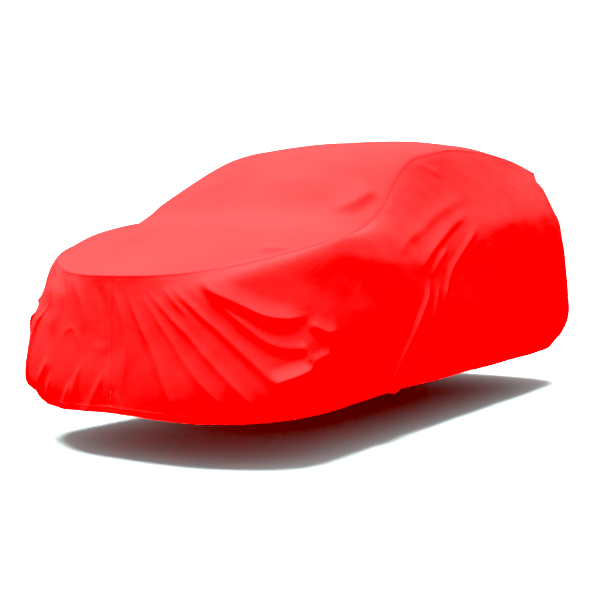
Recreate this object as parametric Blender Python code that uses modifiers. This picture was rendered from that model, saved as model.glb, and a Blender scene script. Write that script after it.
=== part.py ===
"""Fitted car cover, modelled as it hangs in use: three sewn sheets, hollow and open below.

Metres, +Z up. The nose of the cover points to -Y and its left side to +X. The origin is the point under the
crown of the roof where the cover is held up. Tables give heights above the ground, and distances along the
cover from that same crown, and `lowered` takes the heights down to the origin.
"""
from collections import namedtuple

import bmesh
import bpy
import numpy as np

# ---------------------------------------------------------------- driving sizes
ROOF_HEIGHT = 1.650        # ground to the underside of the cloth at the crown of the roof
CLOTH = 0.0025             # thickness of the doubled, coated cloth
PANEL_GAP = 0.0005         # space left between the edges of two panels
RED = (0.80, 0.008, 0.010, 1.0)

# The top panel, one row for each section from the bonnet lip to the roof lip. `y_mid` and `z_mid` are on the
# centre line, `y_edge` and `z_edge` at the seam, `half` is half the width between the seams.
TopSection = namedtuple("TopSection", "name y_mid y_edge half z_mid z_edge")
TOP_SECTIONS = (
    TopSection("bonnet lip",    -2.385, -2.190, 0.615, 0.835, 0.925),
    TopSection("bonnet front",  -2.100, -2.010, 0.770, 1.050, 0.975),
    TopSection("bonnet back",   -1.815, -1.695, 0.745, 1.125, 1.035),
    TopSection("screen foot",   -1.570, -1.415, 0.710, 1.315, 1.135),
    TopSection("screen middle", -1.265, -1.085, 0.635, 1.465, 1.330),
    TopSection("screen head",   -0.980, -0.825, 0.605, 1.527, 1.473),
    TopSection("roof front",    -0.620, -0.520, 0.600, 1.592, 1.537),
    TopSection("roof crown",     0.000,  0.010, 0.600, 1.650, 1.580),
    TopSection("roof back",      0.760,  0.730, 0.605, 1.635, 1.560),
    TopSection("roof lip",       1.325,  1.250, 0.590, 1.570, 1.520),
)
EDGE_BOW = 3.0             # power of |v| by which a section bows towards the nose or tail
CROWN = 3.0                # power of |v| by which a section falls from its middle to the seams

# The side panels hang from the seam through four bands. A band is a line round the cover: a straight side of
# half width `half` with a rounded end of length `nose` or `tail` and squareness `nose_sq` or `tail_sq`, from
# y = `front` to y = `rear`. `drop` is its place between the seam, 0, and the hem, 1. The last six columns are
# its height above the ground at the stations of BAND_STATIONS.
Band = namedtuple("Band", "name drop half front rear nose tail nose_sq tail_sq "
                          "z_nose z_corner z_wing z_door z_quarter z_tail")
BANDS = (
    Band("shoulder", 0.22, 0.825, -2.485, 1.475, 0.61, 0.61, 2.30, 2.90,
         0.745, 0.780, 0.935, 0.985, 1.210, 1.175),
    Band("belly",    0.52, 0.880, -2.565, 1.560, 0.69, 0.57, 2.55, 2.85,
         0.515, 0.595, 0.630, 0.660, 0.690, 0.710),
    Band("low",      0.85, 0.850, -2.545, 1.530, 0.48, 0.57, 2.40, 2.65,
         0.300, 0.255, 0.255, 0.350, 0.385, 0.400),
    Band("hem",      1.00, 0.810, -2.465, 1.455, 0.71, 0.72, 2.30, 2.25,
         0.195, 0.190, 0.230, 0.245, 0.295, 0.350),
)
BAND_STATIONS = (0.0, 0.10, 0.24, 0.48, 0.80, 1.0)   # nose, corner, wing, door, quarter, tail
FRONT_CORNER = 0.16        # station of the top panel's front corner
REAR_CORNER = 0.86         # station of its rear corner
CORNER_HALF = 0.80         # where a band turns its corner, as a share of its half width
CURVE_POINTS = 200         # points by which the length of a curved line is measured

# Folds. A point is (distance round the side panel from the nose, height above the ground). A fold runs on a
# smooth line from `start` through `middle` to `end`, reaches `half` to each side and stands `rise` off the
# cloth, or sinks into it where `rise` is below 0.
Fold = namedtuple("Fold", "name start middle end half rise")
LEFT_FOLDS = (
    Fold("nose trough",      (0.06, 0.86), (0.12, 0.68), (0.17, 0.36), 0.050, -0.016),
    Fold("nose ridge",       (0.05, 0.84), (0.23, 0.56), (0.40, 0.14), 0.060, 0.026),
    Fold("corner trough 1",  (0.12, 0.80), (0.33, 0.54), (0.52, 0.22), 0.050, -0.016),
    Fold("corner ridge 1",   (0.16, 0.80), (0.40, 0.50), (0.70, 0.16), 0.050, 0.020),
    Fold("corner trough 2",  (0.28, 0.76), (0.50, 0.49), (0.78, 0.20), 0.045, -0.014),
    Fold("corner ridge 2",   (0.18, 0.84), (0.48, 0.55), (0.84, 0.18), 0.050, 0.022),
    Fold("corner trough 3",  (0.30, 0.82), (0.58, 0.57), (0.88, 0.32), 0.050, -0.020),
    Fold("corner ridge 3",   (0.36, 0.88), (0.62, 0.58), (0.92, 0.32), 0.060, 0.030),
    Fold("corner trough 4",  (0.38, 0.88), (0.62, 0.62), (0.96, 0.49), 0.050, -0.024),
    Fold("corner ridge 4",   (0.46, 0.86), (0.70, 0.62), (1.06, 0.60), 0.060, 0.026),
    Fold("corner trough 5",  (0.50, 0.82), (0.74, 0.64), (1.04, 0.61), 0.045, -0.022),
    Fold("corner ridge 5",   (0.42, 0.90), (0.66, 0.74), (0.98, 0.69), 0.060, 0.024),
    Fold("wing pucker",      (0.80, 0.50), (0.90, 0.44), (1.02, 0.46), 0.055, 0.022),
    Fold("door trough 1",    (2.95, 1.26), (2.24, 1.07), (1.60, 0.80), 0.060, -0.018),
    Fold("door ridge 1",     (2.85, 1.20), (2.30, 1.02), (1.74, 0.80), 0.070, 0.020),
    Fold("door trough 2",    (2.80, 1.16), (2.26, 0.97), (1.84, 0.66), 0.055, -0.022),
    Fold("door ridge 2",     (2.82, 1.10), (2.40, 0.92), (2.06, 0.58), 0.060, 0.026),
    Fold("sill ridge 1",     (1.98, 0.76), (1.76, 0.53), (1.62, 0.28), 0.055, 0.024),
    Fold("sill trough",      (2.02, 0.66), (1.84, 0.47), (1.70, 0.22), 0.045, -0.014),
    Fold("sill ridge 2",     (2.08, 0.76), (1.93, 0.50), (1.62, 0.18), 0.050, 0.020),
)
RIGHT_FOLDS = (
    Fold("nose trough",      (0.30, 0.86), (0.33, 0.66), (0.34, 0.44), 0.050, -0.014),
    Fold("nose ridge",       (0.46, 0.86), (0.40, 0.66), (0.42, 0.40), 0.060, 0.020),
    Fold("corner ridge 1",   (0.44, 0.84), (0.62, 0.54), (0.78, 0.16), 0.055, 0.022),
    Fold("corner trough 1",  (0.50, 0.82), (0.74, 0.56), (0.94, 0.24), 0.050, -0.018),
    Fold("corner ridge 2",   (0.52, 0.86), (0.82, 0.60), (1.08, 0.30), 0.060, 0.026),
    Fold("corner trough 2",  (0.58, 0.86), (0.92, 0.64), (1.20, 0.44), 0.050, -0.020),
    Fold("corner ridge 3",   (0.60, 0.90), (0.98, 0.72), (1.34, 0.58), 0.060, 0.022),
    Fold("door trough 1",    (2.70, 1.22), (2.14, 1.04), (1.66, 0.78), 0.060, -0.018),
    Fold("door ridge 1",     (2.64, 1.14), (2.14, 0.92), (1.82, 0.56), 0.065, 0.024),
    Fold("door trough 2",    (2.60, 1.06), (2.20, 0.84), (1.96, 0.56), 0.055, -0.020),
    Fold("sill ridge",       (1.94, 0.70), (1.78, 0.46), (1.70, 0.16), 0.055, 0.022),
    Fold("quarter trough",   (3.72, 1.04), (3.96, 0.78), (4.02, 0.48), 0.055, -0.014),
    Fold("quarter ridge",    (3.84, 1.10), (4.06, 0.84), (4.14, 0.50), 0.060, 0.018),
)
# Folds of the top panel, at the foot of each windscreen pillar. Here a point is (x, y).
TOP_FOLDS = (
    Fold("left pillar trough",  (0.36, -1.62), (0.56, -1.53), (0.60, -1.24), 0.090, -0.022),
    Fold("left pillar ridge",   (0.42, -1.76), (0.60, -1.60), (0.65, -1.30), 0.080, 0.016),
    Fold("right pillar trough", (-0.34, -1.60), (-0.54, -1.52), (-0.61, -1.28), 0.090, -0.018),
)
FOLD_POINTS = 24           # points of a fold's line, to which distances are measured
FOLD_TAPER = 0.7           # power of the sine by which a fold dies out towards its ends
SEAM_FADE = 0.20           # share of the drop over which folds grow from nothing at the seam
CENTRE_FADE = 0.020        # the same beside the seams at the nose and the tail, as a share of the way round

# ---------------------------------------------------------------- how finely the sheets are cut
ROW_STOPS = (0, 0.5, 1, 1.5, 2, 2.5, 3, 3.5, 4, 4.5, 5, 5.5, 6, 6.5, 7, 7.5, 8, 8.5, 9)   # in top sections
LIP_CUTS = 8               # squares of the top panel on each side of its centre line
LIP_SPLITS = (3, 3, 3, 3, 3, 3, 3, 3)      # columns of a side panel for each of those squares at the nose
ROW_SPLITS = (2, 2, 2, 2, 2, 2, 2, 2, 2, 2, 2, 1, 1, 1, 2, 2, 3, 4)    # beside each row of the top panel
TAIL_SPLITS = (2, 2, 2, 1, 1, 1, 1, 1)     # and for each square at the tail, from its corner to the middle
DROPS = (0, 0.07, 0.15, 0.23, 0.32, 0.42, 0.52, 0.62, 0.72, 0.82, 0.90, 0.96, 1.0)       # rows of a side panel


# ---------------------------------------------------------------- curves
def smooth(knots, values, at, flat_ends=False):
    """The smooth curve through `values` at `knots`, read at `at`. Values may be numbers or points."""
    knots = np.asarray(knots, float)
    values = np.asarray(values, float)
    at = np.clip(np.asarray(at, float), knots[0], knots[-1])
    slopes = np.gradient(values, knots, axis=0)
    if flat_ends:
        slopes[0] = 0
        slopes[-1] = 0
    left = np.clip(np.searchsorted(knots, at, side="right") - 1, 0, len(knots) - 2)
    span = knots[left + 1] - knots[left]
    t = (at - knots[left]) / span
    if values.ndim > 1:
        t = t[..., None]
        span = span[..., None]
    return ((2 * t**3 - 3 * t**2 + 1) * values[left] + (t**3 - 2 * t**2 + t) * span * slopes[left]
            + (3 * t**2 - 2 * t**3) * values[left + 1] + (t**3 - t**2) * span * slopes[left + 1])


def lengths_along(points):
    """Distance from the first point to each point of a line."""
    steps = np.linalg.norm(np.diff(points, axis=0), axis=1)
    return np.concatenate([[0.0], np.cumsum(steps)])


# ---------------------------------------------------------------- the form of the cover
def section_places():
    """Where each top section lies along the seam, from the bonnet lip, 0, to the roof lip, 1."""
    edge = np.array([(section.half, section.y_edge, section.z_edge) for section in TOP_SECTIONS])
    along = lengths_along(edge)
    return along / along[-1]


def section_share(stop):
    """Where a stop counted in top sections, such as 2.5, lies between the lips, 0 to 1."""
    return np.interp(stop, np.arange(len(TOP_SECTIONS)), section_places())


def top_point(u, v):
    """Point of the top panel: u from the bonnet lip, 0, to the roof lip, 1, and v from -1 to 1 across."""
    table = np.array([section[1:] for section in TOP_SECTIONS])
    y_mid, y_edge, half, z_mid, z_edge = np.moveaxis(smooth(section_places(), table, u), -1, 0)
    bow = 1 - np.abs(v) ** EDGE_BOW
    crown = 1 - np.abs(v) ** CROWN
    return np.stack([v * half, y_edge + (y_mid - y_edge) * bow, z_edge + (z_mid - z_edge) * crown], axis=-1)


def band_line(band, stations):
    """(x, y) of a band at the given stations, from the nose, 0, to the tail, 1."""
    turn = np.linspace(0, np.pi / 2, CURVE_POINTS)
    nose_x = band.half * np.sin(turn) ** (2 / band.nose_sq)
    nose_y = band.front + band.nose - band.nose * np.cos(turn) ** (2 / band.nose_sq)
    tail_x = band.half * np.sin(turn) ** (2 / band.tail_sq)
    tail_y = band.rear - band.tail + band.tail * np.cos(turn) ** (2 / band.tail_sq)
    x = np.concatenate([nose_x, tail_x[::-1]])
    y = np.concatenate([nose_y, tail_y[::-1]])
    along = lengths_along(np.stack([x, y], axis=-1))
    front_corner = np.interp(CORNER_HALF * band.half, nose_x, along[:CURVE_POINTS])
    rear_corner = np.interp(-CORNER_HALF * band.half, -tail_x[::-1], along[CURVE_POINTS:])
    place = smooth([0, FRONT_CORNER, REAR_CORNER, 1], [0, front_corner, rear_corner, along[-1]], stations)
    return np.interp(place, along, x), np.interp(place, along, y)


def band_points(band, stations):
    """A band's points in space at the given stations."""
    x, y = band_line(band, stations)
    heights = (band.z_nose, band.z_corner, band.z_wing, band.z_door, band.z_quarter, band.z_tail)
    return np.stack([x, y, smooth(BAND_STATIONS, heights, stations, flat_ends=True)], axis=-1)


def seam_line():
    """The left half of the seam as the corners of the top panel's squares, with the station of each."""
    v = np.linspace(0, 1, LIP_CUTS + 1)
    u = section_share(np.array(ROW_STOPS))
    lip = top_point(np.zeros_like(v), v)
    side = top_point(u, np.ones_like(u))
    tail = top_point(np.ones_like(v), v[::-1])
    lip_at = lengths_along(lip) / lengths_along(lip)[-1] * FRONT_CORNER
    side_at = FRONT_CORNER + lengths_along(side) / lengths_along(side)[-1] * (REAR_CORNER - FRONT_CORNER)
    tail_at = REAR_CORNER + lengths_along(tail) / lengths_along(tail)[-1] * (1 - REAR_CORNER)
    points = np.concatenate([lip, side[1:], tail[1:]])
    stations = np.concatenate([lip_at, side_at[1:], tail_at[1:]])
    return points, stations


def side_columns():
    """Seam points and stations of a side panel's columns: each square of the top panel's edge, split."""
    points, stations = seam_line()
    splits = LIP_SPLITS + ROW_SPLITS + TAIL_SPLITS
    places = [0.0]
    for square, count in enumerate(splits):
        places += [square + (k + 1) / count for k in range(count)]
    counted = np.arange(len(points))
    seam = np.stack([np.interp(places, counted, points[:, k]) for k in range(3)], axis=-1)
    return seam, np.interp(places, counted, stations)


def side_grid():
    """Points of the smooth left side panel, rows from the seam to the hem, and its distances round."""
    seam, stations = side_columns()
    levels = np.array([seam] + [band_points(band, stations) for band in BANDS])
    drops = [0.0] + [band.drop for band in BANDS]
    grid = smooth(drops, levels.reshape(len(levels), -1), DROPS).reshape(len(DROPS), len(stations), 3)
    downwards = grid[1] - grid[0]
    grid[0] += PANEL_GAP * downwards / np.linalg.norm(downwards, axis=1, keepdims=True)
    grid[..., 0] += PANEL_GAP / 2
    shares = np.linspace(0, 1, CURVE_POINTS)
    belly = np.stack(band_line(BANDS[1], shares), axis=-1)
    around = np.interp(stations, shares, lengths_along(belly))
    return grid, np.broadcast_to(around, grid.shape[:2]), stations


# ---------------------------------------------------------------- folds
def fold_height(folds, places):
    """How far the cloth stands off its smooth form at each place of the plane in which folds are drawn."""
    total = np.zeros(places.shape[:-1])
    for fold in folds:
        shares = np.linspace(0, 1, FOLD_POINTS)
        line = smooth([0, 0.5, 1], [fold.start, fold.middle, fold.end], shares)
        away = np.linalg.norm(places[..., None, :] - line, axis=-1)
        nearest = away.argmin(axis=-1)
        distance = np.minimum(away.min(axis=-1) / fold.half, 1.0)
        across = 0.5 + 0.5 * np.cos(np.pi * distance)
        along = np.sin(np.pi * shares[nearest]) ** FOLD_TAPER
        total += fold.rise * across * along
    return total


def ramp(value, end):
    """0 at 0, 1 from `end` on, smooth between."""
    t = np.clip(value / end, 0, 1)
    return t * t * (3 - 2 * t)


def outward(grid):
    """Unit normals of a grid whose rows run down from the seam and whose columns run from nose to tail."""
    normals = np.cross(np.gradient(grid, axis=0), np.gradient(grid, axis=1))
    return normals / np.linalg.norm(normals, axis=-1, keepdims=True)


def folded_side(folds):
    """The left side panel with folds."""
    grid, around, stations = side_grid()
    off = fold_height(folds, np.stack([around, grid[..., 2]], axis=-1))
    off *= ramp(np.array(DROPS), SEAM_FADE)[:, None]
    off *= ramp(stations, CENTRE_FADE) * ramp(1 - stations, CENTRE_FADE)
    return grid + outward(grid) * off[..., None]


def folded_top():
    """The top panel with its folds, rows from the bonnet lip to the roof lip."""
    u = section_share(np.array(ROW_STOPS))
    v = np.linspace(-1, 1, 2 * LIP_CUTS + 1)
    grid = top_point(*np.meshgrid(u, v, indexing="ij"))
    grid[..., 2] += fold_height(TOP_FOLDS, grid[..., :2]) * ramp(1 - np.abs(v), SEAM_FADE)
    return grid


# ---------------------------------------------------------------- objects
def lowered(grid):
    """The grid with its heights measured from the origin under the roof."""
    return grid - np.array([0, 0, ROOF_HEIGHT])


def sheet(name, grid, collection, material):
    """A cloth sheet: a plane of squares laid on the grid's points and thickened outwards."""
    rows, columns = grid.shape[:2]
    mesh = bpy.data.meshes.new(name)
    work = bmesh.new()
    bmesh.ops.create_grid(work, x_segments=columns - 1, y_segments=rows - 1, size=1)
    for vert in work.verts:
        column = round((vert.co.x + 1) / 2 * (columns - 1))
        row = round((vert.co.y + 1) / 2 * (rows - 1))
        vert.co = grid[row, column]
    work.to_mesh(mesh)
    work.free()
    mesh.materials.append(material)
    mesh.shade_smooth()
    panel = bpy.data.objects.new(name, mesh)
    collection.objects.link(panel)
    solidify = panel.modifiers.new("cloth", "SOLIDIFY")
    solidify.thickness = CLOTH
    solidify.offset = 1
    return panel


def cloth_material():
    """Plain red coated cloth."""
    material = bpy.data.materials.new("red_cloth")
    material.use_nodes = True
    shader = material.node_tree.nodes["Principled BSDF"]
    shader.inputs["Base Color"].default_value = RED
    shader.inputs["Roughness"].default_value = 0.55
    shader.inputs["Metallic"].default_value = 0.0
    return material


def build():
    for thing in list(bpy.data.objects):
        bpy.data.objects.remove(thing)
    collection = bpy.data.collections.new("car_cover")
    bpy.context.scene.collection.children.link(collection)
    cloth = cloth_material()
    mirror = np.array([-1, 1, 1])
    left = lowered(folded_side(LEFT_FOLDS))
    right = lowered(folded_side(RIGHT_FOLDS) * mirror)
    sheet("top_panel", lowered(folded_top()), collection, cloth)
    sheet("left_side_panel", left[::-1], collection, cloth)
    sheet("right_side_panel", right, collection, cloth)


build()
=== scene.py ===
"""Fitted car cover in red coated cloth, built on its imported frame.

Metres, +Z up, in the frame of the CAD model: the nose of the cover points to -Y and its left side to +X. As
there, tables give heights above the ground and `lowered` takes them down to the origin under the roof. The
form is that of the CAD model brought closer to the outline in the photograph, so the two aren't the same.
"""
import math
from collections import namedtuple

import bpy
import numpy as np
from mathutils import Euler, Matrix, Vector


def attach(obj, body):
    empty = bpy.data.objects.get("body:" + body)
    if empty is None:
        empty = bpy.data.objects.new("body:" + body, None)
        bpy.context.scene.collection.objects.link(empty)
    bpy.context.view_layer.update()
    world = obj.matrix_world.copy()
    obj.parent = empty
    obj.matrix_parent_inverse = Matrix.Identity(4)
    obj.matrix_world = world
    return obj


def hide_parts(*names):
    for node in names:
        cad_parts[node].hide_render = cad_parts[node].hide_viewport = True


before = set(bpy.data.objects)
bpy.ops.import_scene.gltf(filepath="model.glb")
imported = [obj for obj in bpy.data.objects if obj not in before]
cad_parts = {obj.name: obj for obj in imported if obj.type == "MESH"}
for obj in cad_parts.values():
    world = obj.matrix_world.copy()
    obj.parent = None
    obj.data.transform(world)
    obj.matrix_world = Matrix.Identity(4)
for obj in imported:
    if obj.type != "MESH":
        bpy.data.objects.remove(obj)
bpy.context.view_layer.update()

# ---------------------------------------------------------------- sizes of the form
ROOF_HEIGHT = 1.650        # ground to the underside of the cloth at the crown of the roof
PANEL_GAP = 0.0001         # space between the edges of a side panel and the top panel
CENTRE_GAP = 0.00001       # and from the edge of a side panel to the middle of the cover

# The top panel, one row for each section from the bonnet lip to the roof lip. `y_mid` and `z_mid` are on the
# centre line, `y_edge` and `z_edge` at the seam, `half` is half the width between the seams.
TopSection = namedtuple("TopSection", "name y_mid y_edge half z_mid z_edge")
TOP_SECTIONS = (
    TopSection("bonnet lip",    -2.550, -2.275, 0.630, 0.828, 0.906),
    TopSection("bonnet front",  -2.110, -2.015, 0.770, 1.055, 0.975),
    TopSection("bonnet back",   -1.815, -1.695, 0.745, 1.137, 1.038),
    TopSection("screen foot",   -1.570, -1.415, 0.710, 1.323, 1.140),
    TopSection("screen middle", -1.265, -1.085, 0.635, 1.477, 1.335),
    TopSection("screen head",   -0.980, -0.825, 0.605, 1.535, 1.477),
    TopSection("roof front",    -0.620, -0.520, 0.600, 1.596, 1.540),
    TopSection("roof crown",     0.000,  0.010, 0.600, 1.650, 1.583),
    TopSection("roof back",      0.760,  0.730, 0.605, 1.642, 1.578),
    TopSection("roof lip",       1.315,  1.240, 0.590, 1.586, 1.536),
)
EDGE_BOW = 2.2             # power of |v| by which a section bows towards the nose or tail
CROWN = 3.0                # power of |v| by which a section falls from its middle to the seams

# The side panels hang from the seam through five bands. A band is a line round the cover: a straight side of
# half width `half` with a rounded end of length `nose` or `tail` and squareness `nose_sq` or `tail_sq`, from
# y = `front` to y = `rear`. `drop` is its place between the seam, 0, and the hem, 1. `heights` are those above
# the ground at the stations of BAND_STATIONS, which run from the nose, 0, to the tail, 1.
Band = namedtuple("Band", "name drop half front rear nose tail nose_sq tail_sq heights")
BANDS = (
    Band("shoulder", 0.22, 0.820, -2.558, 1.455, 0.61, 0.63, 2.30, 2.60,
         (0.680, 0.755, 0.845, 0.940, 0.990, 1.160, 1.245, 1.210)),
    Band("waist",    0.32, 0.844, -2.560, 1.495, 0.63, 0.60, 2.40, 2.80,
         (0.620, 0.680, 0.740, 0.820, 0.890, 1.070, 1.155, 1.120)),
    Band("belly",    0.52, 0.880, -2.562, 1.568, 0.69, 0.57, 2.55, 2.90,
         (0.515, 0.585, 0.615, 0.630, 0.660, 0.680, 0.690, 0.710)),
    Band("low",      0.85, 0.868, -2.572, 1.520, 0.52, 0.57, 2.45, 2.50,
         (0.330, 0.305, 0.295, 0.290, 0.360, 0.375, 0.385, 0.400)),
    Band("hem",      1.00, 0.850, -2.566, 1.455, 0.60, 0.74, 2.35, 2.20,
         (0.222, 0.209, 0.216, 0.244, 0.268, 0.270, 0.294, 0.366)),
)
BAND_STATIONS = (0.0, 0.10, 0.165, 0.24, 0.48, 0.62, 0.80, 1.0)
FRONT_CORNER = 0.16        # station of the top panel's front corner
REAR_CORNER = 0.86         # station of its rear corner
CORNER_HALF = 0.80         # where a band turns its corner, as a share of its half width
CURVE_POINTS = 400         # points by which the length of a curved line is measured
BELLY = 2                  # number of the band along which distances round the cover are measured

# ---------------------------------------------------------------- how finely the sheets are cut
TOP_ROWS = 300             # squares of the top panel from the bonnet lip to the roof lip
TOP_HALF = 75              # and on each side of its centre line
# Columns of a side panel: the distance round at which each stretch ends, and how wide its squares are.
COLUMN_STRETCHES = ((1.15, 0.0060), (1.60, 0.009), (2.90, 0.0065), (4.60, 0.016), (5.375, 0.012))
DROP_ROWS = 158            # squares of a side panel from the seam to the hem

# ---------------------------------------------------------------- folds
# A fold's crest runs along `points`. On its lit side the cloth falls gently over `lit`, on its other side
# steeply over `dark`. `side` is 1 where the lit side lies to the left of the line's direction and -1 to its
# right. `fade` is the share of the line over which the fold grows at its start and dies away at its end, and
# `spread` multiplies both widths at the start and at the end. A fold whose rise is below 0 is a valley.
CREST_ROUND = 0.005        # radius to which a crest is rounded, where a fold says nothing else
Fold = namedtuple("Fold", "points lit dark rise side fade spread round",
                  defaults=(1, (0.3, 0.3), (1, 1), CREST_ROUND))

# Points are (distance round from the middle of the nose, height above the ground). Distances count up round
# the left side and down round the right side.
NOSE_FOLDS = (
    Fold(((-0.58, 0.87), (-0.50, 0.79), (-0.44, 0.71), (-0.41, 0.62), (-0.42, 0.50)), 0.07, 0.05, 0.010, -1),
    Fold(((-0.44, 0.83), (-0.36, 0.76), (-0.34, 0.66), (-0.33, 0.54)), 0.03, 0.03, -0.005),
    Fold(((-0.74, 0.90), (-0.70, 0.84), (-0.66, 0.74)), 0.05, 0.05, -0.006),
    Fold(((-0.36, 0.83), (-0.25, 0.76), (-0.19, 0.66), (-0.17, 0.56)), 0.06, 0.06, 0.007),
    Fold(((-0.15, 0.81), (-0.09, 0.76), (-0.05, 0.68), (-0.02, 0.52), (-0.02, 0.36)), 0.04, 0.04, -0.008),
    Fold(((-0.04, 0.80), (0.04, 0.71), (0.08, 0.59), (0.09, 0.46), (0.08, 0.32)), 0.05, 0.05, 0.009),
    Fold(((-0.31, 0.53), (-0.30, 0.57), (-0.26, 0.59), (-0.23, 0.56), (-0.20, 0.49)), 0.024, 0.020, 0.003),
    Fold(((-0.13, 0.500), (-0.07, 0.512), (-0.01, 0.50)), 0.040, 0.055, 0.003),
    Fold(((-0.17, 0.46), (-0.22, 0.36), (-0.27, 0.27), (-0.32, 0.19)),
         0.045, 0.045, 0.006, -1, (0.3, 0.05), (0.3, 1.4)),
    Fold(((-0.035, 0.42), (-0.075, 0.34), (-0.13, 0.26), (-0.18, 0.19)),
         0.040, 0.045, 0.006, -1, (0.3, 0.05), (0.3, 1.4)),
    Fold(((-0.41, 0.38), (-0.44, 0.31), (-0.47, 0.25), (-0.49, 0.20)),
         0.035, 0.032, 0.005, -1, (0.3, 0.05), (0.4, 1.2)),
    Fold(((-0.25, 0.36), (-0.30, 0.28), (-0.36, 0.20)), 0.035, 0.032, 0.005, -1, (0.3, 0.05), (0.4, 1.2)),
    Fold(((-0.42, 0.45), (-0.48, 0.38), (-0.56, 0.31)), 0.035, 0.045, 0.008, -1),
    Fold(((0.03, 0.33), (0.045, 0.27), (0.07, 0.20)), 0.025, 0.025, 0.004, -1),
)
CORNER_FOLDS = (
    Fold(((0.06, 0.80), (0.15, 0.65), (0.22, 0.52), (0.28, 0.41), (0.33, 0.30), (0.36, 0.20)),
         0.042, 0.038, 0.0065, 1, (0.3, 0.03), (0.6, 1.0)),
    Fold(((0.14, 0.79), (0.24, 0.67), (0.31, 0.57), (0.39, 0.47), (0.48, 0.38), (0.57, 0.30), (0.67, 0.21)),
         0.032, 0.032, 0.0045, 1, (0.3, 0.05), (0.4, 1.2)),
    Fold(((0.14, 0.81), (0.28, 0.70), (0.38, 0.60), (0.47, 0.51), (0.56, 0.43), (0.66, 0.34), (0.79, 0.21)),
         0.036, 0.032, 0.0060, 1, (0.3, 0.05), (0.5, 1)),
    Fold(((0.27, 0.79), (0.33, 0.74), (0.38, 0.69), (0.43, 0.64)), 0.022, 0.018, 0.005),
    Fold(((0.28, 0.81), (0.41, 0.72), (0.50, 0.635), (0.59, 0.555), (0.70, 0.465), (0.81, 0.375)),
         0.046, 0.036, 0.0085, 1, (0.3, 0.06), (0.5, 1)),
    Fold(((0.48, 0.80), (0.57, 0.70), (0.66, 0.61), (0.75, 0.55), (0.86, 0.525), (0.96, 0.545)),
         0.050, 0.032, 0.0120, 1, (0.25, 0.2), (0.5, 1.3)),
    Fold(((0.44, 0.83), (0.54, 0.76), (0.66, 0.70), (0.74, 0.66), (0.84, 0.65), (0.94, 0.67)),
         0.075, 0.030, 0.0230, 1, (0.25, 0.25)),
    Fold(((0.78, 0.375), (0.83, 0.395), (0.88, 0.41), (0.93, 0.43), (0.98, 0.45)),
         0.060, 0.050, 0.040, 1, (0.15, 0.35)),
    Fold(((0.88, 0.55), (0.91, 0.51), (0.95, 0.455)), 0.030, 0.025, 0.010),
    Fold(((0.94, 0.455), (1.00, 0.485), (1.06, 0.50)), 0.030, 0.030, 0.010),
    Fold(((0.92, 0.64), (0.98, 0.60), (1.03, 0.585), (1.09, 0.60)), 0.060, 0.030, 0.014),
)
DOOR_FOLDS = (
    Fold(((3.02, 1.29), (2.84, 1.25), (2.54, 1.175), (2.34, 1.12), (2.16, 1.06), (1.98, 1.01), (1.81, 0.95),
          (1.66, 0.87)), 0.070, 0.040, 0.008, -1),
    Fold(((2.90, 1.18), (2.65, 1.11), (2.50, 1.06), (2.34, 1.00), (2.20, 0.95), (2.08, 0.90), (1.94, 0.83)),
         0.060, 0.026, 0.011, -1, (0.35, 0.2)),
    Fold(((2.42, 0.97), (2.30, 0.92), (2.18, 0.865), (2.06, 0.80)), 0.028, 0.022, 0.007, -1),
    Fold(((2.92, 1.10), (2.82, 1.06), (2.63, 0.97), (2.48, 0.90), (2.36, 0.84), (2.27, 0.77), (2.21, 0.71),
          (2.14, 0.63)), 0.036, 0.026, 0.011, -1, (0.3, 0.15)),
    Fold(((2.04, 0.80), (1.98, 0.72), (1.88, 0.62), (1.82, 0.55), (1.78, 0.49), (1.74, 0.44), (1.71, 0.39),
          (1.66, 0.28)), 0.034, 0.026, 0.016, -1, (0.2, 0.08)),
    Fold(((2.17, 0.79), (2.07, 0.67), (2.03, 0.61), (2.00, 0.55), (1.98, 0.49), (1.95, 0.41)),
         0.030, 0.025, 0.009, -1),
    Fold(((1.93, 0.47), (1.88, 0.42), (1.85, 0.37), (1.80, 0.33), (1.73, 0.28), (1.63, 0.21)),
         0.036, 0.024, 0.022, -1, (0.25, 0.02)),
)
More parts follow.
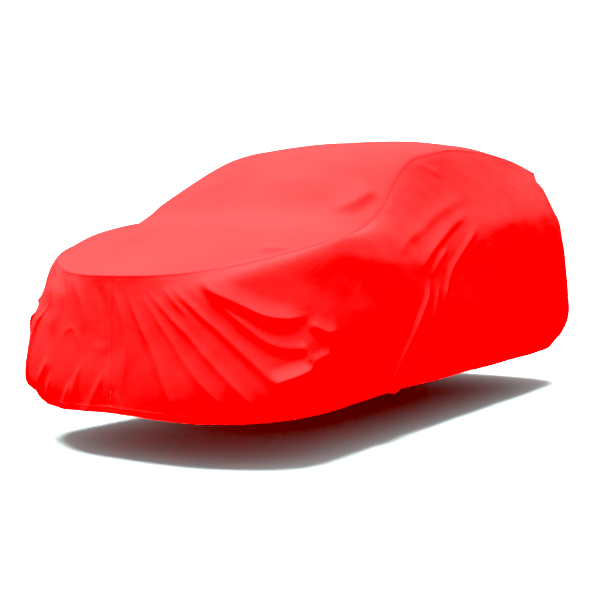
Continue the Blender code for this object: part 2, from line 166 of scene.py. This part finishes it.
# Where the cloth turns from facing up to hanging, and a fold beside the roof edge.
LEFT_EDGES = (
    Fold(((0.88, 0.86), (1.02, 0.89), (1.25, 0.91), (1.45, 0.89), (1.70, 0.87), (2.20, 0.88)),
         0.10, 0.24, 0.014, 1, (0.2, 0.2), (1, 1), 0.03),
    Fold(((2.70, 1.04), (3.00, 1.09), (3.35, 1.12), (4.00, 1.15)),
         0.12, 0.25, 0.007, 1, (0.2, 0.2), (1, 1), 0.03),
    Fold(((2.24, 1.45), (2.43, 1.44), (2.60, 1.41), (2.75, 1.37)), 0.05, 0.04, 0.005, 1),
    Fold(((4.20, 1.40), (4.45, 1.39), (4.75, 1.38)), 0.10, 0.16, 0.016, 1, (0.3, 0.3), (1, 1), 0.03),
)
RIGHT_FOLDS = (
    Fold(((-0.88, 0.86), (-1.02, 0.89), (-1.25, 0.91), (-1.50, 0.89), (-2.10, 0.88)),
         0.10, 0.24, 0.014, -1, (0.2, 0.2), (1, 1), 0.03),
    Fold(((-2.70, 1.04), (-3.00, 1.09), (-3.35, 1.12), (-4.00, 1.15)),
         0.12, 0.25, 0.007, -1, (0.2, 0.2), (1, 1), 0.03),
    Fold(((-0.46, 0.80), (-0.62, 0.54), (-0.78, 0.21)), 0.07, 0.04, 0.012, -1, (0.4, 0.05), (0.4, 1)),
    Fold(((-0.62, 0.76), (-0.72, 0.66), (-0.86, 0.54), (-1.08, 0.32)),
         0.07, 0.035, 0.014, -1, (0.4, 0.1), (0.4, 1)),
    Fold(((-0.78, 0.80), (-0.90, 0.72), (-1.04, 0.66), (-1.34, 0.60)), 0.08, 0.035, 0.018, -1),
    Fold(((-2.74, 1.16), (-2.40, 1.03), (-2.14, 0.92), (-1.82, 0.58)), 0.06, 0.03, 0.015, 1),
    Fold(((-2.70, 1.22), (-2.40, 1.14), (-2.14, 1.06), (-1.66, 0.82)), 0.06, 0.04, 0.014, 1),
    Fold(((-1.96, 0.74), (-1.84, 0.54), (-1.76, 0.42), (-1.70, 0.22)), 0.04, 0.025, 0.013, 1, (0.25, 0.05)),
    Fold(((-2.16, 0.74), (-2.04, 0.60), (-1.98, 0.46)), 0.03, 0.025, 0.009, 1),
    Fold(((-3.84, 1.10), (-4.06, 0.84), (-4.14, 0.50)), 0.07, 0.06, 0.016, 1),
)
# Points are (x, y) on the top panel.
TOP_FOLDS = (
    Fold(((0.54, -1.68), (0.60, -1.62), (0.625, -1.54), (0.63, -1.44), (0.635, -1.36), (0.645, -1.26)),
         0.150, 0.045, 0.026, 1, (0.35, 0.3)),
    Fold(((0.53, -2.22), (0.60, -2.20), (0.69, -2.16)), 0.060, 0.030, 0.010, 1, (0.35, 0.35)),
    Fold(((0.10, -1.60), (0.30, -1.56), (0.46, -1.50), (0.60, -1.42)),
         0.16, 0.14, 0.014, 1, (0.4, 0.4), (1, 1), 0.04),
    Fold(((-0.50, -1.66), (-0.57, -1.56), (-0.61, -1.40), (-0.62, -1.26)), 0.130, 0.050, 0.006, -1),
)
# The right front corner hangs slacker than the left. At these shares of its drop the cloth there is pulled in
# and lifted, or lowered where its lift is below 0.
SLACK_DROPS = (0.00, 0.12, 0.24, 0.38, 0.55, 0.85, 1.00)
SLACK_PULLS = (0.000, 0.008, 0.014, 0.004, 0.000, 0.000, 0.000)
SLACK_LIFTS = (0.000, -0.055, -0.070, -0.040, 0.000, 0.014, 0.036)
SLACK_CORNER = 0.76        # its distance round from the middle of the nose
SLACK_REACH = 0.27         # how far from it along the cover the slack is felt

LIT_POWER = 1.7            # how a fold falls from its crest on its lit side
DARK_POWER = 1.4           # and on the other
FOLD_POINTS = 100          # points along a crest from which distances to it are measured
SIDE_FADE = 0.05           # share of the drop over which folds grow from nothing at the seam
TOP_FADE = 0.12            # the same as a share of the half width of the top panel
BONNET_LIP_FADE = 0.02     # and as a share of its length, at the bonnet lip
ROOF_LIP_FADE = 0.03       # and at the roof lip

# How far the seam is pulled down the side, at places along the cover, and how deep the crease along it is.
SEAM_PLACES = (-2.30, -2.00, -1.60, -1.30, -1.00, -0.80, -0.66, -0.50, -0.36, 0.00, 1.20)
SEAM_PULLS = (0.000, 0.000, 0.004, 0.006, 0.010, 0.020, 0.022, 0.018, 0.014, 0.010, 0.006)
SEAM_CREASES = (0.000, 0.002, 0.004, 0.004, 0.005, 0.010, 0.012, 0.008, 0.005, 0.004, 0.003)
PULL_ACROSS = 0.50         # the pull runs outward and down
PULL_DOWN = 0.85
SeamReach = namedtuple("SeamReach", "pull crease")
TOP_REACH = SeamReach(0.060, 0.009)        # how far from the seam each is felt in the top panel
SIDE_REACH = SeamReach(0.120, 0.035)       # and in a side panel

HEM = 0.028                # height of the turned hem
HEM_STEP = 0.0018          # by how much the doubled cloth of the hem stands out
HEM_EDGE = 0.004           # height over which it does
HEM_INSET = 0.0035         # from the outside of the hem to its turned part
HEM_ROWS = 3               # rows of points in the turned part

WAVES = 14                 # waves added up for the unevenness of the cloth
WAVE_LENGTHS = (1.4, 3.0)  # range of their lengths, in times their size
WIDE_WAVES = (0.30, 0.003)                 # their size and height
CLOSE_WAVES = (0.08, 0.0008)
SIDE_SEED = 21             # the wide waves take a seed, and the close waves the next one
TOP_SEED = 11


# ---------------------------------------------------------------- curves
def smooth(knots, values, at, flat_ends=False):
    """The smooth curve through `values` at `knots`, read at `at`. Values may be numbers or points."""
    knots = np.asarray(knots, float)
    values = np.asarray(values, float)
    at = np.clip(np.asarray(at, float), knots[0], knots[-1])
    slopes = np.gradient(values, knots, axis=0)
    if flat_ends:
        slopes[0] = 0
        slopes[-1] = 0
    left = np.clip(np.searchsorted(knots, at, side="right") - 1, 0, len(knots) - 2)
    span = knots[left + 1] - knots[left]
    t = (at - knots[left]) / span
    if values.ndim > 1:
        t = t[..., None]
        span = span[..., None]
    return ((2 * t**3 - 3 * t**2 + 1) * values[left] + (t**3 - 2 * t**2 + t) * span * slopes[left]
            + (3 * t**2 - 2 * t**3) * values[left + 1] + (t**3 - t**2) * span * slopes[left + 1])


def lengths_along(points):
    """Distance from the first point to each point of a line."""
    steps = np.linalg.norm(np.diff(points, axis=0), axis=1)
    return np.concatenate([[0.0], np.cumsum(steps)])


def line_at(places, knots, points):
    """Points of a line at the given places, where `knots` are the places of its own points."""
    return np.stack([np.interp(places, knots, points[:, axis]) for axis in range(3)], axis=-1)


def distances_down(grid):
    """Distance of each point of a grid from the first row, down its column."""
    return np.cumsum(np.linalg.norm(np.diff(grid, axis=0, prepend=grid[:1]), axis=-1), axis=0)


def ramp(value, end):
    """0 at 0, 1 from `end` on, smooth between."""
    t = np.clip(value / end, 0, 1)
    return t * t * (3 - 2 * t)


def unit(vectors):
    return vectors / np.linalg.norm(vectors, axis=-1, keepdims=True)


def outward(grid):
    """Unit normals of a grid.

    Where its rows follow from seam to hem and its columns from nose to tail, they point to the left of the
    cover: out of its left side.
    """
    return unit(np.cross(np.gradient(grid, axis=0), np.gradient(grid, axis=1)))


# ---------------------------------------------------------------- the smooth form
def section_places():
    """Where each top section lies along the seam, from the bonnet lip, 0, to the roof lip, 1."""
    edge = np.array([(section.half, section.y_edge, section.z_edge) for section in TOP_SECTIONS])
    along = lengths_along(edge)
    return along / along[-1]


def top_point(u, v):
    """Point of the top panel: u from the bonnet lip, 0, to the roof lip, 1, and v from -1 to 1 across."""
    table = np.array([section[1:] for section in TOP_SECTIONS])
    y_mid, y_edge, half, z_mid, z_edge = np.moveaxis(smooth(section_places(), table, u), -1, 0)
    bow = 1 - np.abs(v) ** EDGE_BOW
    crown = 1 - np.abs(v) ** CROWN
    return np.stack([v * half, y_edge + (y_mid - y_edge) * bow, z_edge + (z_mid - z_edge) * crown], axis=-1)


def band_line(band, stations):
    """(x, y) of a band at the given stations, from the nose, 0, to the tail, 1."""
    turn = np.linspace(0, np.pi / 2, CURVE_POINTS)
    nose_x = band.half * np.sin(turn) ** (2 / band.nose_sq)
    nose_y = band.front + band.nose - band.nose * np.cos(turn) ** (2 / band.nose_sq)
    tail_x = band.half * np.sin(turn) ** (2 / band.tail_sq)
    tail_y = band.rear - band.tail + band.tail * np.cos(turn) ** (2 / band.tail_sq)
    x = np.concatenate([nose_x, tail_x[::-1]])
    y = np.concatenate([nose_y, tail_y[::-1]])
    along = lengths_along(np.stack([x, y], axis=-1))
    front_corner = np.interp(CORNER_HALF * band.half, nose_x, along[:CURVE_POINTS])
    rear_corner = np.interp(-CORNER_HALF * band.half, -tail_x[::-1], along[CURVE_POINTS:])
    place = smooth([0, FRONT_CORNER, REAR_CORNER, 1], [0, front_corner, rear_corner, along[-1]], stations)
    return np.interp(place, along, x), np.interp(place, along, y)


def band_points(band, stations):
    """A band's points in space at the given stations."""
    x, y = band_line(band, stations)
    return np.stack([x, y, smooth(BAND_STATIONS, band.heights, stations, flat_ends=True)], axis=-1)


def seam_points(stations):
    """Points of the left half of the seam at the given stations."""
    share = np.linspace(0, 1, CURVE_POINTS)
    lip = top_point(np.zeros_like(share), share)
    side = top_point(share, np.ones_like(share))
    tail = top_point(np.ones_like(share), share[::-1])
    points = np.concatenate([lip, side[1:], tail[1:]])
    lip_at = lengths_along(lip) / lengths_along(lip)[-1] * FRONT_CORNER
    side_at = FRONT_CORNER + lengths_along(side) / lengths_along(side)[-1] * (REAR_CORNER - FRONT_CORNER)
    tail_at = REAR_CORNER + lengths_along(tail) / lengths_along(tail)[-1] * (1 - REAR_CORNER)
    at = np.concatenate([lip_at, side_at[1:], tail_at[1:]])
    return line_at(stations, at, points)


def column_places():
    """Distances round the side panel at which its columns stand, and their stations."""
    distances = [0.0]
    for end, width in COLUMN_STRETCHES:
        count = round((end - distances[-1]) / width)
        distances += list(np.linspace(distances[-1], end, count + 1)[1:])
    shares = np.linspace(0, 1, CURVE_POINTS)
    belly = lengths_along(np.stack(band_line(BANDS[BELLY], shares), axis=-1))
    distances = np.array(distances) * belly[-1] / distances[-1]
    return distances, np.interp(distances, belly, shares)


def side_grid():
    """Points of the smooth left side panel from seam to hem, its distances round and its drops."""
    around, stations = column_places()
    drops = np.linspace(0, 1, DROP_ROWS + 1)
    levels = np.array([seam_points(stations)] + [band_points(band, stations) for band in BANDS])
    places = [0.0] + [band.drop for band in BANDS]
    grid = smooth(places, levels.reshape(len(levels), -1), drops).reshape(len(drops), len(stations), 3)
    grid[0] += PANEL_GAP * unit(grid[1] - grid[0])
    return grid, around, drops


# ---------------------------------------------------------------- relief
def fold_height(folds, places):
    """How far the cloth stands off its smooth form at each place of the plane in which the folds lie."""
    total = np.zeros(places.shape[:-1])
    for fold in folds:
        points = np.array(fold.points)
        reach = max(fold.lit, fold.dark) * max(fold.spread) + fold.round
        near = np.all((places > points.min(0) - reach) & (places < points.max(0) + reach), axis=-1)
        here = places[near]
        if not len(here):
            continue
        knots = lengths_along(points)
        shares = np.linspace(0, 1, FOLD_POINTS)
        line = smooth(knots, points, shares * knots[-1])
        heading = unit(np.gradient(line, axis=0))
        nearest = ((here[:, None, :] - line) ** 2).sum(-1).argmin(axis=1)
        away = here - line[nearest]
        forward = heading[nearest]
        lit = fold.side * (forward[:, 0] * away[:, 1] - forward[:, 1] * away[:, 0]) > 0
        width = np.where(lit, fold.lit, fold.dark) * np.interp(shares[nearest], (0, 1), fold.spread)
        distance = np.hypot(np.linalg.norm(away, axis=1), fold.round) - fold.round
        fall = np.clip(1 - distance / width, 0, 1) ** np.where(lit, LIT_POWER, DARK_POWER)
        grow = ramp(shares[nearest], fold.fade[0]) * ramp(1 - shares[nearest], fold.fade[1])
        total[near] += fold.rise * fall * grow
    return total


def unevenness(points, waves, seed):
    """Smooth waves of the given size and height, at points in space."""
    size, height = waves
    rng = np.random.default_rng(seed)
    total = np.zeros(points.shape[:-1])
    for _ in range(WAVES):
        direction = unit(rng.normal(size=3))
        length = size * rng.uniform(*WAVE_LENGTHS)
        total += np.sin(points @ direction * math.tau / length + rng.uniform(0, math.tau))
    return total * height / math.sqrt(WAVES)


def seam_shift(points, distance, reach):
    """Shift of points near the seam, which is pulled down the side and lies in a crease."""
    pull = smooth(SEAM_PLACES, SEAM_PULLS, points[..., 1]) * np.exp(-(distance / reach.pull) ** 2)
    crease = smooth(SEAM_PLACES, SEAM_CREASES, points[..., 1]) * np.exp(-(distance / reach.crease) ** 2)
    across = np.sign(points[..., 0]) * pull * PULL_ACROSS
    return np.stack([across, 0 * across, -pull * PULL_DOWN - crease], axis=-1)


def slack_shift(around, drops, normals):
    """Shift of the points of the right side panel at its slack front corner."""
    near = np.exp(-((around - SLACK_CORNER) / SLACK_REACH) ** 2)
    pull = smooth(SLACK_DROPS, SLACK_PULLS, drops, flat_ends=True)[:, None] * near
    lift = smooth(SLACK_DROPS, SLACK_LIFTS, drops, flat_ends=True)[:, None] * near
    return lift[..., None] * np.array([0, 0, 1]) - pull[..., None] * normals


def folded_side(side, folds):
    """A side panel in left-hand form, with the relief of the given side: 1 is the left and -1 the right."""
    grid, around, drops = side_grid()
    signed = np.broadcast_to(side * around, grid.shape[:2])
    space = grid * np.array([side, 1, 1])
    off = fold_height(folds, np.stack([signed, grid[..., 2]], axis=-1))
    off += unevenness(space, WIDE_WAVES, SIDE_SEED) + unevenness(space, CLOSE_WAVES, SIDE_SEED + 1)
    below = distances_down(grid)
    hem = HEM_STEP * ramp(HEM + HEM_EDGE - (below[-1] - below), HEM_EDGE)
    off = off * ramp(drops, SIDE_FADE)[:, None] + hem
    normals = outward(grid)
    if side < 0:
        grid = grid + slack_shift(around, drops, normals)
    grid = with_turned_hem(grid + normals * off[..., None] + seam_shift(grid, below, SIDE_REACH), normals[-1])
    grid[:, [0, -1], 0] = CENTRE_GAP
    return grid


def with_turned_hem(grid, outwards):
    """The panel with three more rows, which turn its hem in and up again."""
    edge = grid[-1]
    up = unit(grid[-2] - edge)
    under = edge - outwards * HEM_INSET / 2 - up * HEM_INSET / 4
    behind = edge - outwards * HEM_INSET
    return np.concatenate([grid, [under, behind, behind + up * HEM]])


def folded_top():
    """The top panel with its relief, rows from the bonnet lip to the roof lip."""
    u = np.linspace(0, 1, TOP_ROWS + 1)
    v = np.linspace(-1, 1, 2 * TOP_HALF + 1)
    grid = top_point(*np.meshgrid(u, v, indexing="ij"))
    off = fold_height(TOP_FOLDS, grid[..., :2])
    off += unevenness(grid, WIDE_WAVES, TOP_SEED) + unevenness(grid, CLOSE_WAVES, TOP_SEED + 1)
    along = ramp(u, BONNET_LIP_FADE) * ramp(1 - u, ROOF_LIP_FADE)
    inside = ramp(1 - np.abs(v), TOP_FADE) * along[:, None]
    from_seam = (1 - np.abs(v)) * grid[:, -1:, 0]
    # Rows follow from nose to tail here, so `outward` gives the normals that point into the cover.
    return grid - outward(grid) * (off * inside)[..., None] + seam_shift(grid, from_seam, TOP_REACH)


def lowered(grid):
    """The grid with its heights measured from the origin under the roof."""
    return grid - np.array([0, 0, ROOF_HEIGHT])


# ---------------------------------------------------------------- materials
CLOTH_RED = (0.90, 0.0080, 0.0080, 1)
WORN_RED = (0.80, 0.0066, 0.0068, 1)       # the deeper red that the cloth takes in patches
THREAD_RED = (0.80, 0.0070, 0.0080, 1)
SHEEN_RED = (1.0, 0.03, 0.03, 1)
SHEEN = 0.04
SHEEN_ROUGHNESS = 0.5
MATT = 0.0                 # specular level of the coated cloth, the thread and the floor
PATCH_SHARE = (-0.4, 1.0)  # range over which the share of the deeper red is laid
CLOTH_ROUGHNESS = (0.48, 0.66)
THREAD_ROUGHNESS = (0.45, 0.60)
FLOOR_ROUGHNESS = 0.9
WEAVE_SCALE = 240          # threads repeat every 0.314 / 240 m, or 1.3 mm
TWIST_SCALE = 500.0
UV_LAYER = "flat"          # the cloth laid flat, in metres

Noise = namedtuple("Noise", "scale detail roughness", defaults=(0.5,))
PATCHES = Noise(2.6, 4.0)
FLECKS = Noise(420, 2.0)
CRUMPLES = Noise(9.0, 2.0, 0.45)
CREPE = Noise(34.0, 3.0)
THREAD_PATCHES = Noise(90.0, 2.0)
THREAD_FLECKS = Noise(700.0, 2.0)

Depth = namedtuple("Depth", "distance strength")
CRUMPLE_DEPTH = Depth(0.010, 0.42)
CREPE_DEPTH = Depth(0.0012, 0.40)
WEAVE_DEPTH = Depth(0.00012, 0.35)
TWIST_DEPTH = Depth(0.0001, 0.5)


class Nodes:
    """The nodes of one material, with short names for making and joining them."""

    def __init__(self, name):
        self.material = bpy.data.materials.new(name)
        self.material.use_nodes = True
        self.tree = self.material.node_tree
        self.shader = self.tree.nodes["Principled BSDF"]

    def add(self, kind, **values):
        """A node of the given kind. Values name its properties, or else its inputs."""
        node = self.tree.nodes.new("ShaderNode" + kind)
        for key, value in values.items():
            if hasattr(node, key):
                setattr(node, key, value)
            else:
                node.inputs[key.replace("_", " ")].default_value = value
        return node

    def join(self, source, target):
        self.tree.links.new(source, target)

    def noise(self, coordinates, grain):
        node = self.add("TexNoise", Scale=grain.scale, Detail=grain.detail, Roughness=grain.roughness)
        self.join(coordinates, node.inputs["Vector"])
        return node.outputs["Fac"]

    def wave(self, coordinates, scale, direction):
        node = self.add("TexWave", Scale=scale, bands_direction=direction, wave_profile="SIN")
        self.join(coordinates, node.inputs["Vector"])
        return node.outputs["Fac"]

    def spread(self, value, limits):
        """The value from 0 to 1 laid over the range between the limits."""
        node = self.add("MapRange", To_Min=limits[0], To_Max=limits[1])
        self.join(value, node.inputs["Value"])
        return node.outputs["Result"]

    def blend(self, share, first, second):
        """Two colours mixed. They are inputs 6 and 7 of the node, and the mix is its output 2."""
        node = self.add("Mix", data_type="RGBA")
        self.join(share, node.inputs["Factor"])
        node.inputs[6].default_value = first
        node.inputs[7].default_value = second
        return node.outputs[2]

    def larger(self, first, second):
        node = self.add("Math", operation="MAXIMUM")
        self.join(first, node.inputs[0])
        self.join(second, node.inputs[1])
        return node.outputs[0]

    def bump(self, height, depth, under=None):
        """The normal of a relief, laid on the relief `under` it where there is one."""
        node = self.add("Bump", Distance=depth.distance, Strength=depth.strength)
        self.join(height, node.inputs["Height"])
        if under is not None:
            self.join(under, node.inputs["Normal"])
        return node.outputs["Normal"]


def cloth_material():
    """Plain woven polyester with a matt coating: threads, slight crumples and patches of deeper red."""
    nodes = Nodes("red_cloth")
    place = nodes.add("TexCoord").outputs["Object"]
    flat = nodes.add("UVMap", uv_map=UV_LAYER).outputs["UV"]
    shader = nodes.shader

    patches = nodes.spread(nodes.noise(place, PATCHES), PATCH_SHARE)
    colour = nodes.blend(patches, CLOTH_RED, WORN_RED)
    nodes.join(colour, shader.inputs["Base Color"])

    flecks = nodes.spread(nodes.noise(flat, FLECKS), CLOTH_ROUGHNESS)
    nodes.join(flecks, shader.inputs["Roughness"])

    weave = nodes.larger(nodes.wave(flat, WEAVE_SCALE, "X"), nodes.wave(flat, WEAVE_SCALE, "Y"))
    normal = nodes.bump(nodes.noise(place, CRUMPLES), CRUMPLE_DEPTH)
    normal = nodes.bump(nodes.noise(place, CREPE), CREPE_DEPTH, normal)
    normal = nodes.bump(weave, WEAVE_DEPTH, normal)
    nodes.join(normal, shader.inputs["Normal"])

    shader.inputs["Specular IOR Level"].default_value = MATT
    shader.inputs["Sheen Weight"].default_value = SHEEN
    shader.inputs["Sheen Roughness"].default_value = SHEEN_ROUGHNESS
    shader.inputs["Sheen Tint"].default_value = SHEEN_RED
    return nodes.material


def thread_material():
    """Sewing thread in the red of the cloth, with its twist."""
    nodes = Nodes("red_thread")
    place = nodes.add("TexCoord").outputs["Object"]
    shader = nodes.shader
    colour = nodes.blend(nodes.noise(place, THREAD_PATCHES), THREAD_RED, CLOTH_RED)
    nodes.join(colour, shader.inputs["Base Color"])
    nodes.join(nodes.spread(nodes.noise(place, THREAD_FLECKS), THREAD_ROUGHNESS), shader.inputs["Roughness"])
    nodes.join(nodes.bump(nodes.wave(place, TWIST_SCALE, "DIAGONAL"), TWIST_DEPTH), shader.inputs["Normal"])
    shader.inputs["Specular IOR Level"].default_value = MATT
    return nodes.material


def floor_material():
    """Pale matt floor."""
    nodes = Nodes("floor")
    shader = nodes.shader
    shader.inputs["Base Color"].default_value = FLOOR_PALE
    shader.inputs["Roughness"].default_value = FLOOR_ROUGHNESS
    shader.inputs["Specular IOR Level"].default_value = MATT
    return nodes.material


# ---------------------------------------------------------------- objects
STITCH_PITCH = 0.005
STITCH_LENGTH = 0.0035
STITCH_RADIUS = 0.0004
STITCH_LIFT = 0.0002       # from the cloth to the middle of a stitch
SEAM_STITCHES = 0.005      # from a sewn edge of a panel to its row of stitches
HEM_STITCHES = 0.026       # and from the fold of the hem to its row

# The flat piece of each panel: the longest row, the longest column and the area of its grid as it hangs, and
# 15 mm more at each sewn edge.
Flat = namedtuple("Flat", "width length area")


def mesh_object(name, points, faces, material):
    mesh = bpy.data.meshes.new(name)
    mesh.from_pydata(np.asarray(points).tolist(), [], np.asarray(faces).tolist())
    mesh.materials.append(material)
    mesh.shade_smooth()
    thing = bpy.data.objects.new(name, mesh)
    bpy.context.scene.collection.objects.link(thing)
    return thing


def grid_faces(rows, columns):
    """Squares between the points of a grid, facing the way that `outward` gives for it."""
    index = np.arange(rows * columns).reshape(rows, columns)
    return np.stack([index[:-1, :-1], index[1:, :-1], index[1:, 1:], index[:-1, 1:]], axis=-1).reshape(-1, 4)


def flat_places(grid):
    """Where each point lies in the flat cloth, in metres: along the middle row and down its own column."""
    along = lengths_along(grid[grid.shape[0] // 2])
    return np.stack([np.broadcast_to(along, grid.shape[:2]), distances_down(grid)], axis=-1)


def panel(name, grid, flipped=False):
    """A cloth panel laid on the grid's points, standing for its CAD node. Its faces face into the cover."""
    faces = grid_faces(*grid.shape[:2])
    if flipped:
        faces = faces[:, ::-1]
    thing = mesh_object(name + "_cloth", grid.reshape(-1, 3), faces, CLOTH)
    layer = thing.data.uv_layers.new(name=UV_LAYER)
    corners = flat_places(grid).reshape(-1, 2)[faces.ravel()]
    layer.data.foreach_set("uv", corners.astype(np.float32).ravel())
    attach(thing, "root")
    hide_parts(name)


def inset(grid, distance):
    """The line in the grid at the given distance from its first row, and the grid's normals there."""
    down = distances_down(grid)
    row = np.clip((down < distance).sum(axis=0) - 1, 0, len(grid) - 2)
    column = np.arange(grid.shape[1])
    share = (distance - down[row, column]) / (down[row + 1, column] - down[row, column])
    line = grid[row, column] + (grid[row + 1, column] - grid[row, column]) * share[:, None]
    return line, outward(grid)[row, column]


def stitch_row(line, normals):
    """Points and faces of a row of stitches along a line."""
    along = lengths_along(line)
    middles = np.arange(STITCH_PITCH, along[-1] - STITCH_PITCH, STITCH_PITCH)
    centre = line_at(middles, along, line)
    ahead = line_at(middles + STITCH_PITCH / 2, along, line)
    up = unit(line_at(middles, along, normals))
    forward = unit(ahead - centre)
    across = np.cross(forward, up)
    corners = []
    for end in (-1, 1):
        for side, rise in ((-1, -1), (1, -1), (1, 1), (-1, 1)):
            corners.append(centre + forward * end * STITCH_LENGTH / 2 + across * side * STITCH_RADIUS
                           + up * (rise * STITCH_RADIUS + STITCH_LIFT))
    points = np.stack(corners, axis=1)
    box = np.array([(0, 1, 2, 3), (7, 6, 5, 4), (0, 4, 5, 1), (1, 5, 6, 2), (2, 6, 7, 3), (3, 7, 4, 0)])
    faces = box + 8 * np.arange(len(points))[:, None, None]
    return points.reshape(-1, 3), faces.reshape(-1, 4)


def stitches(name, rows):
    """One piece that holds several rows of stitches."""
    points = []
    faces = []
    for line, normals in rows:
        row_points, row_faces = stitch_row(line, normals)
        faces.append(row_faces + sum(len(earlier) for earlier in points))
        points.append(row_points)
    thing = mesh_object(name + "_stitches", np.concatenate(points), np.concatenate(faces), THREAD)
    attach(thing, "root")


def stitched_edges(name, grid, facing, last_row):
    """Stitches along the four edges of a panel, at `last_row` from its last row.

    `facing` is 1 where the grid's normals point out of the cover and -1 where they point into it. They turn
    over where the grid is read from its other end or with its rows as columns.
    """
    turned = grid.swapaxes(0, 1)
    edges = ((grid, SEAM_STITCHES, facing), (grid[::-1], last_row, -facing),
             (turned, SEAM_STITCHES, -facing), (turned[::-1], SEAM_STITCHES, facing))
    rows = []
    for edge, distance, sign in edges:
        line, normals = inset(edge, distance)
        rows.append((line, normals * sign))
    stitches(name, rows)


def side_panel(name, side):
    """A side panel with its stitches along the seam, the hem and the middle of the nose and the tail."""
    folds = NOSE_FOLDS + CORNER_FOLDS + DOOR_FOLDS + LEFT_EDGES + RIGHT_FOLDS
    grid = lowered(folded_side(side, folds)) * np.array([side, 1, 1])
    panel(name, grid, flipped=side > 0)
    stitched_edges(name, grid[:-HEM_ROWS], side, HEM_STITCHES)


def top_panel(name):
    """The top panel with its stitches all round."""
    grid = lowered(folded_top())
    panel(name, grid)
    stitched_edges(name, grid, -1, SEAM_STITCHES)


# ---------------------------------------------------------------- stage
FLOOR_PALE = (0.19, 0.23, 0.23, 1)
FLOOR_HALF = 60.0
WORLD_WHITE = (1, 1, 1, 1)
WORLD_STRENGTH = 1.0
OVERHEAD_POWER = 7.0 * math.pi
OVERHEAD_AIM = (0.09, 0.08, -1)
OVERHEAD_SPREAD = 50       # degrees
FRONT_POWER = 110          # W
FRONT_PLACE = (0.6, -8.5, -0.7)
FRONT_AIM = (0.0, 6.5, -0.2)
FRONT_WIDTH = 7.0
FRONT_HEIGHT = 1.6
BLACK = 0.0175             # light up to here comes out black
WHITE = 0.3120             # and from here on at full strength
PHOTO_SIZE = 600           # pixels across the photograph
PHOTO_FOCUS = 974.192      # focal length in those pixels
SENSOR = 36.0              # mm
CAMERA_PLACE = (2.9829, -5.7194, -0.7488)
CAMERA_DOWN = 0.0421       # radians below level
CAMERA_TURN = 0.5656       # radians round from +Y


def stage_floor():
    corners = [(-FLOOR_HALF, -FLOOR_HALF, 0), (FLOOR_HALF, -FLOOR_HALF, 0),
               (FLOOR_HALF, FLOOR_HALF, 0), (-FLOOR_HALF, FLOOR_HALF, 0)]
    floor = mesh_object("floor", corners, [(0, 1, 2, 3)], floor_material())
    floor.location.z = -ROOF_HEIGHT


def add_light(name, kind, energy, aim):
    """A light that shines along `aim`."""
    data = bpy.data.lights.new(name, kind)
    data.energy = energy
    lamp = bpy.data.objects.new(name, data)
    lamp.rotation_euler = Vector(aim).to_track_quat("-Z", "Y").to_euler()
    bpy.context.scene.collection.objects.link(lamp)
    return lamp


def studio_lights():
    world = bpy.data.worlds.new("studio")
    world.use_nodes = True
    background = world.node_tree.nodes["Background"]
    background.inputs["Color"].default_value = WORLD_WHITE
    background.inputs["Strength"].default_value = WORLD_STRENGTH
    bpy.context.scene.world = world
    overhead = add_light("overhead", "SUN", OVERHEAD_POWER, OVERHEAD_AIM)
    overhead.data.angle = math.radians(OVERHEAD_SPREAD)
    front = add_light("front", "AREA", FRONT_POWER, FRONT_AIM)
    front.location = FRONT_PLACE
    front.data.shape = "RECTANGLE"
    front.data.size = FRONT_WIDTH
    front.data.size_y = FRONT_HEIGHT
    front.visible_camera = False


def photo_camera():
    data = bpy.data.cameras.new("camera")
    data.sensor_width = SENSOR
    data.lens = PHOTO_FOCUS / PHOTO_SIZE * SENSOR
    camera = bpy.data.objects.new("camera", data)
    camera.location = CAMERA_PLACE
    camera.rotation_euler = Euler((math.pi / 2 - CAMERA_DOWN, 0, CAMERA_TURN))
    bpy.context.scene.collection.objects.link(camera)
    bpy.context.scene.camera = camera


def photo_tones():
    """The hard tone curve of the product photograph."""
    view = bpy.context.scene.view_settings
    view.view_transform = "Standard"
    view.use_curve_mapping = True
    view.curve_mapping.black_level = (BLACK, BLACK, BLACK)
    view.curve_mapping.white_level = (WHITE, WHITE, WHITE)
    view.curve_mapping.update()


CLOTH = cloth_material()
THREAD = thread_material()
top_panel("top_panel")
side_panel("left_side_panel", 1)
side_panel("right_side_panel", -1)
stage_floor()
studio_lights()
photo_camera()
photo_tones()
